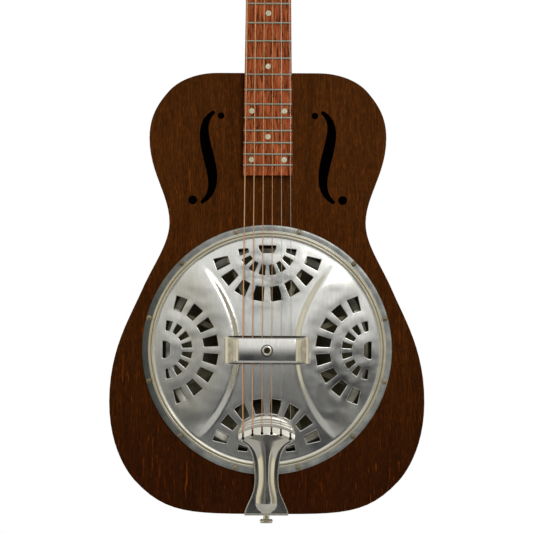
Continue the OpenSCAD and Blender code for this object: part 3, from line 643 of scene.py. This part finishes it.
def plate_height(u, v):
    """Dome, beaded rim and flat flange, with a valley under the strings between two raised sides."""
    r = math.hypot(u, v)
    dome = 4 + 8.5 * (1 - (min(r, 131) / 128) ** 2)
    height = SHEET + (dome - SHEET) * (1 - smooth(132.6, FLANGE_R, r))
    height += 0.7 * hill(r - BEAD_R, 1.2) - 0.7 * hill(r - GROOVE_R, 0.55) + 0.5 * hill(r - LIP_R, 0.8)
    height -= 0.8 * smooth(142.6, 145.5, r)
    side = abs(u) - valley_edge(v)
    step = smooth(-4.5, 4.5, side)
    height += 2.6 * step * (1 - smooth(4, 62, side)) * (1 - smooth(70, 108, abs(v)))
    height -= 1.2 * (1 - step) * (1 - smooth(50, 105, abs(v)))
    waves = noise.noise(Vector((u, v, 0)) / 17) + 0.5 * noise.noise(Vector((u, v, 50)) / 9)
    return height + 0.2 * waves * (1 - smooth(112, 128, r)) * smooth(-6, 10, side) - dish(u, v)


def plate_filling():
    points = [(0.0, 0.0)]
    r = 1.9
    while r < PLATE_R - 0.6:
        rim = 130 < r < 138.4
        points += ring_of(r, 420 if rim else round(2 * math.pi * r / 2.1))
        r += 0.3 if rim else 1.9
    return points


def make_coverplate(materials):
    bay = along([(-44, -15.7), (44, -15.7), (44, 15.7), (-44, 15.7)], 2.2)
    holes = [hole for degrees in (0, 90, 180, 270) for hole in fan_holes(degrees)] + [bay]
    for k in range(12):
        u, v = turned((0, SCREW_R), 15 + 30 * k)
        holes.append(ring_of(1.6, 10, u, v))
    form = bmesh.new()
    pressed_sheet(
        form, ring_of(PLATE_R, 260), holes, plate_filling(),
        lambda u, v, sunk: on_plate(u, v, plate_height(u, v) - sunk), SHEET
    )
    stand_in(sheet_mesh("coverplate_shape", form), "coverplate", materials)


REST_H = 32
REST_T = 1.3
REST_HALF = 50.5
REST_FLAT = 11
REST_ROLL = 5


def bend(value, width):
    """0 before the bend and value after it, with a curve of that half width between."""
    if abs(value) < width:
        return (value + width) ** 2 / (4 * width)
    return max(value, 0.0)


def rest_shape(u, v, sunk):
    """Flat strap over the saddles: long edges rolled under, ends sloping down onto the plate."""
    turn = max(abs(v) - REST_FLAT, 0) / REST_ROLL * math.pi / 2
    up = math.copysign(min(abs(v), REST_FLAT) + 3.6 * math.sin(turn), v)
    up *= 1 + 0.07 * smooth(36, 50, abs(u))
    rise = 1 - (bend(abs(u) - 33.8, 1.6) - bend(abs(u) - 46.8, 2.4)) / 13
    foot = plate_height(u, up) + REST_T + 0.1
    height = foot + (REST_H - foot) * rise - 3.2 * (1 - math.cos(turn)) * min(1, 1.5 * rise)
    height -= 0.75 * rise * (min(abs(v), REST_FLAT) / REST_FLAT) ** 2
    return on_plate(u, up, height - sunk)


def make_hand_rest(materials):
    half = REST_FLAT + REST_ROLL
    corner = 5
    outline = []
    for cx, cy, first in ((1, 1, 0), (-1, 1, 90), (-1, -1, 180), (1, -1, 270)):
        middle = (cx * (REST_HALF - corner), cy * (half - corner))
        outline += arc(corner, range(first, first + 91, 15), *middle)
    filling = [(u * 0.9, v * 0.8) for u in range(-56, 57) for v in range(-20, 21)]
    form = bmesh.new()
    pressed_sheet(form, along(outline, 1.5), [ring_of(4.2, 24)], filling, rest_shape, REST_T)
    stand_in(sheet_mesh("hand_rest_shape", form), "hand_rest", materials)


# ---------- Tailpiece ----------
TAIL_TOP = PLATE_CENTRE.z / MM - 74
BODY_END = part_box("top")[0][2] / MM
STRING_SPREAD = 54.6
HEAD_HALF = 33
HEAD_ROUND = 22
# Half the strap's width, and half the width of the rib pressed into it, at distances below the head's top
STRAP_SIDE = [
    (33, 22), (33, 26), (31.8, 30), (28.2, 33), (22.4, 37), (18, 44), (15.5, 53), (14, 66), (13.8, 78),
    (15.2, 88), (18, 96), (21.6, 104), (25, 112.6), (25.5, 115.8)
]
RIB_SIDE = [
    (29, 22), (26.5, 29), (21, 33), (16.5, 37.5), (13, 43), (10.4, 51), (9.2, 60), (8.7, 70),
    (9, 80), (10.6, 89), (12, 96), (12.2, 101), (11.6, 105), (9.4, 109), (6, 112)
]


def between(p, q, r, s, t):
    """The value a share t of the way from q to r, on a smooth curve through all four values."""
    square, cube = 2 * p - 5 * q + 4 * r - s, 3 * q - p - 3 * r + s
    return 0.5 * (2 * q + (r - p) * t + square * t * t + cube * t ** 3)


def flowing(points, steps):
    """A smooth open line through the points."""
    line = []
    ends = [points[0]] + points + [points[-1]]
    for a, b, c, d in zip(ends, ends[1:], ends[2:], ends[3:]):
        for k in range(steps):
            line.append(tuple(between(*values, k / steps) for values in zip(a, b, c, d)))
    return line + [points[-1]]


def arch(x):
    """How far the head's arched lines fall away, x to either side of the middle."""
    return 6.5 * (x / 28) ** 2


def half_width(line, q):
    return float(np.interp(q, [p[1] for p in line], [p[0] for p in line]))


STRAP_LINE = flowing(STRAP_SIDE, 4)
RIB_LINE = flowing(RIB_SIDE, 4)


def tail_height(x, q):
    """Head with a rolled edge, two grooves and a comb, stepping down to the strap and its rounded rib."""
    x = abs(x)
    row = q - arch(x)
    edge = q - HEAD_ROUND * (1 - math.sqrt(max(1 - (x / HEAD_HALF) ** 2, 0)))
    head = 15 - 4.5 * (1 - math.sqrt(max(1 - (1 - min(edge / 6, 1)) ** 2, 0)))
    head -= 1.2 * hill(row - 6.6, 0.65) + 1.2 * hill(row - 9.2, 0.65) + 1.7 * smooth(10.4, 13.8, row)
    head += 0.15 * max(row - 13.8, 0)
    rib = (4.8 - 1.0 * smooth(26, 110, q)) * (1 - (x / half_width(RIB_LINE, q)) ** 2)
    rib *= math.sqrt(max(1 - (max(q - 103, 0) / 10) ** 2, 0))
    strap = 10.4 - 0.0966 * (q - 26) + (rib + math.hypot(rib, 0.2)) / 2
    strap -= 0.3 * (1 - smooth(0, 1.1, half_width(STRAP_LINE, q) - x))
    return strap + (head - strap) * (1 - smooth(21.6, 22.6, row))


def tail_holes():
    """The comb's keyhole slots, one for each string, which let the ball ends through."""
    holes = []
    for number in range(1, 7):
        x = string_x(number, STRING_SPREAD)
        slot = arc(0.75, range(0, 181, 30), v=-15)
        eye = arc(1.6, range(118, 423, 30), v=-21.6)
        holes.append(along([(x + u, v - arch(x)) for u, v in slot + eye], 1.2))
    return holes


def make_tailpiece(materials):
    angles = [math.radians(a) for a in range(0, 90, 5)]
    side = [(HEAD_HALF * math.sin(a), HEAD_ROUND * (1 - math.cos(a))) for a in angles] + STRAP_LINE
    outline = [(x, -q) for x, q in side] + [(-x, -q) for x, q in side[:0:-1]]
    filling = [
        (x * 0.9 + 0.45 * (k % 2), -q) for k, q in
        [(k, 0.35 * k if k < 75 else 26.25 + 0.8 * (k - 75)) for k in range(190)] for x in range(-38, 39)
    ]
    form = bmesh.new()
    pressed_sheet(
        form, along(outline, 1.4), tail_holes(), filling,
        lambda u, v, sunk: (u * MM, -(tail_height(u, -v) - sunk) * MM, (TAIL_TOP + v) * MM), 1.3, 0.35, 0.2
    )
    # The strap's end plate, folded down over the end of the body. Its flat pattern runs to x and to -y.
    pin_y = mid("end_pin").y / MM
    tab = arc(12, range(0, -181, -15), v=-pin_y)
    tab += [(-25.5, -4), (-25.5, 1.4), (25.5, 1.4), (25.5, -4)]
    inside = [(u * 1.5, v * 1.5) for u in range(-17, 18) for v in range(-36, 2)]
    pressed_sheet(
        form, along(tab, 1.5), [ring_of(5.1, 24, 0, -pin_y)], inside,
        lambda u, v, sunk: (u * MM, -v * MM, (BODY_END - 1.7 + sunk) * MM), 1.6
    )
    stand_in(sheet_mesh("tailpiece_shape", form), "tailpiece", materials)


# ---------- Strings ----------
STRING_RADII = (0.21, 0.24, 0.33, 0.46, 0.58, 0.7)
HEAD_Z = -14
HEAD_PITCH = math.radians(12)
ROLLER_Y = 9
ROLLER_ZS = (60, 98, 136)
WINDING_XS = (20.5, 16.3, 12)


def on_head(x, y, z):
    """A place in the head's own frame, y into its face and z along it, in millimetres."""
    c, s = math.cos(HEAD_PITCH), math.sin(HEAD_PITCH)
    return (x, y * c + z * s, HEAD_Z - y * s + z * c)


def string_x(number, spread):
    """Where a string lies across the guitar, in millimetres, where all six take up that spread."""
    return spread / 2 - spread * (number - 1) / 5


def string_path(number):
    """Places and radii from the ball end, over saddle and nut, to the last turn on the roller."""
    r = STRING_RADII[number - 1]
    x = string_x(number, STRING_SPREAD)
    top = TAIL_TOP - arch(x)
    path = [(x, -10.6, top - 23), (x, -10.6, top - 22.6), (x, -10.6, top - 20.4), (x, -10.6, top - 20)]
    path += [(x, -10.8, top - 16.4), (x, -14.4 - r, top - 14.6), (x, -14.9 - r, top - 13.2)]
    path.append((string_x(number, 56), -25 - r, PLATE_CENTRE.z / MM))
    path.append((string_x(number, 44.5), -15, HEAD_Z + 0.3))
    row, side = (number - 1, 1) if number <= 3 else (6 - number, -1)
    reach = 5.15 + r
    lean = 1 if WINDING_XS[row] < 16 else -1
    start = (-15 * math.cos(HEAD_PITCH) - ROLLER_Y, -15 * math.sin(HEAD_PITCH) - ROLLER_ZS[row])
    first = math.atan2(start[1], start[0]) - math.acos(reach / math.hypot(*start))
    for k in range(55):
        a = first - 2 * math.pi * k / 24
        out = side * (WINDING_XS[row] + lean * (2 * r + 0.15) * k / 24)
        path.append(on_head(out, ROLLER_Y + reach * math.cos(a), ROLLER_ZS[row] + reach * math.sin(a)))
    return [Vector(p) * MM for p in path], [0.4, 1.5, 1.5] + [r] * (len(path) - 3)


def make_string(number, materials, sides=10):
    places, radii = string_path(number)
    form = bmesh.new()
    rings = []
    turns = [2 * math.pi * s / sides for s in range(sides)]
    side = Vector((1, 0, 0))
    for k, (place, radius) in enumerate(zip(places, radii)):
        onwards = (places[min(k + 1, len(places) - 1)] - place).normalized()
        so_far = (place - places[max(k - 1, 0)]).normalized()
        way = (onwards + so_far).normalized()
        side = (side - way * side.dot(way)).normalized()
        up = way.cross(side)
        spokes = [math.cos(a) * side + math.sin(a) * up for a in turns]
        rings.append([form.verts.new(place + radius * MM * spoke) for spoke in spokes])
    for low, high in zip(rings, rings[1:]):
        for s in range(sides):
            form.faces.new((low[s], low[(s + 1) % sides], high[(s + 1) % sides], high[s]))
    form.faces.new(rings[0][::-1])
    form.faces.new(rings[-1])
    stand_in(sheet_mesh(f"string_{number}_shape", form), f"string_{number}", materials)


# ---------- Setting ----------
def make_world():
    """A studio seen in the metal: white behind the guitar, bright above, cream to the sides, dim below and to
    the lower right, with a window to the right and a dark gap ahead and a little below. The camera itself
    sees plain white, and matt surfaces are lit at 0.4 of the studio's brightness."""
    world = bpy.data.worlds.new("studio")
    bpy.context.scene.world = world
    world.use_nodes = True
    tree = world.node_tree
    way = tree.nodes.new("ShaderNodeTexCoord").outputs["Generated"]
    axes = tree.nodes.new("ShaderNodeSeparateXYZ")
    tree.links.new(way, axes.inputs["Vector"])

    def blend(value, low, high, first, second):
        """From the first colour to the second as a direction's X, Y or Z, or a socket's value, rises."""
        span = tree.nodes.new("ShaderNodeMapRange")
        span.interpolation_type = "SMOOTHSTEP"
        tree.links.new(axes.outputs[value] if isinstance(value, str) else value, span.inputs["Value"])
        span.inputs["From Min"].default_value = low
        span.inputs["From Max"].default_value = high
        mixer = tree.nodes.new("ShaderNodeMixRGB")
        tree.links.new(span.outputs["Result"], mixer.inputs["Fac"])
        for socket, colour in ((mixer.inputs["Color1"], first), (mixer.inputs["Color2"], second)):
            if isinstance(colour, tuple):
                socket.default_value = (*colour, 1)
            else:
                tree.links.new(colour, socket)
        return mixer.outputs["Color"]

    cream = (0.88, 0.81, 0.62)
    front = blend("Z", -0.12, 0.12, (0.21, 0.21, 0.21), (1.0, 1.0, 0.99))
    far_left = blend("Z", -0.2, 0.16, (0.13, 0.127, 0.11), (0.7, 0.67, 0.57))
    near_left = blend("X", -0.42, -0.12, far_left, front)
    left = blend("X", -0.85, -0.5, cream, near_left)
    low_right = blend("Z", -0.08, 0.09, (0.04, 0.04, 0.04), (1.0, 0.99, 0.97))
    right = blend("X", 0.06, 0.22, left, low_right)
    window = blend("X", 0.45, 0.49, right, (1.0, 0.98, 0.9))
    far_right = blend("X", 0.53, 0.57, window, (0.32, 0.30, 0.24))
    sides = blend("X", 0.72, 0.92, far_right, cream)
    gap = tree.nodes.new("ShaderNodeVectorMath")
    gap.operation = "DOT_PRODUCT"
    tree.links.new(way, gap.inputs[0])
    gap.inputs[1].default_value = (0.02, -0.967, -0.254)
    spot = blend(gap.outputs["Value"], 0.984, 0.997, sides, (0.03, 0.035, 0.04))
    whole = blend("Y", 0.15, 0.6, spot, (1.0, 1.0, 1.0))
    rays = tree.nodes.new("ShaderNodeLightPath").outputs
    soft = tree.nodes.new("ShaderNodeMixRGB")
    soft.blend_type = "MULTIPLY"
    tree.links.new(rays["Is Diffuse Ray"], soft.inputs["Fac"])
    tree.links.new(whole, soft.inputs["Color1"])
    soft.inputs["Color2"].default_value = (0.4, 0.4, 0.4, 1)
    shown = tree.nodes.new("ShaderNodeMixRGB")
    tree.links.new(rays["Is Camera Ray"], shown.inputs["Fac"])
    tree.links.new(soft.outputs["Color"], shown.inputs["Color1"])
    shown.inputs["Color2"].default_value = (1, 1, 1, 1)
    tree.links.new(shown.outputs["Color"], tree.nodes["Background"].inputs["Color"])
    bpy.context.scene.view_settings.view_transform = "Standard"


def softbox(name, place, target, width, height, watts, mirrored=True):
    data = bpy.data.lights.new(name, "AREA")
    data.shape = "RECTANGLE"
    data.size, data.size_y = width, height
    data.energy = watts
    light = bpy.data.objects.new(name, data)
    bpy.context.collection.objects.link(light)
    light.visible_glossy = mirrored
    light.location = place
    light.rotation_euler = (Vector(target) - Vector(place)).to_track_quat("-Z", "Y").to_euler()


def make_floor():
    form = bmesh.new()
    bmesh.ops.create_circle(form, cap_ends=True, radius=1.3, segments=96)
    mesh = bpy.data.meshes.new("floor")
    form.to_mesh(mesh)
    form.free()
    floor = bpy.data.objects.new("floor", mesh)
    bpy.context.collection.objects.link(floor)
    floor.location = (0, 0.1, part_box("end_pin")[0][2] - 0.4)
    paper = Finish("floor_paper", Roughness=0.9)
    tooth = paper.noise(paper.stretched(400, 400, 400))
    paper.set(Base_Color=paper.ramp(tooth, (0.3, (0.74, 0.74, 0.73)), (0.7, (0.80, 0.80, 0.79))))
    mesh.materials.append(paper.material)


# ---------- The guitar ----------
# Edge rounding of each part that keeps its CAD shape, in millimetres
ROUNDED = {
    "top": 1.5, "back": 1.0, "side_bass": 0.15, "side_treble": 0.15, "neck": 1.0, "head_veneer": 0.3,
    "fretboard": 0.4, "frets": 0.45, "fret_markers": 0.25, "nut": 0.4, "coverplate_screws": 0.12,
    "hand_rest_eyelet": 0.15, "spider": 0.5, "saddles": 0.2, "tension_screw": 0.15, "end_pin": 0.35,
    "tuner_plate_bass": 0.25, "tuner_plate_treble": 0.25, "tuner_screws": 0.3
}
for number in range(1, 7):
    ROUNDED.update({
        f"tuner_button_{number}": 2.4, f"worm_{number}": 0.15, f"gear_{number}": 0.2, f"roller_{number}": 0.4
    })


def make_guitar():
    materials = make_materials()
    for node, width in ROUNDED.items():
        refined(node, width, materials, 4 if width > 2 else 2)
    make_coverplate(materials)
    make_hand_rest(materials)
    make_tailpiece(materials)
    for string in range(1, 7):
        make_string(string, materials)
    strings = {f"string_{string}" for string in range(1, 7)}
    shaped = {"coverplate", "hand_rest", "tailpiece", *strings, *ROUNDED}
    for node, piece in frame["nodes"].items():
        if node not in shaped:
            piece.data.materials.clear()
            piece.data.materials.append(materials[SLOT_OF[node]])


make_camera()
make_world()
make_guitar()
make_floor()
# The second lamp isn't mirrored, so that it lights the wood and leaves the metal's reflections alone
softbox("key_right", (1.0, -2.4, 0.66), (0.1, 0, -0.4), 1.3, 1.3, 16)
softbox("upper_right", (1.5, -1.7, 1.2), (0, 0, -0.5), 0.5, 0.5, 28, mirrored=False)
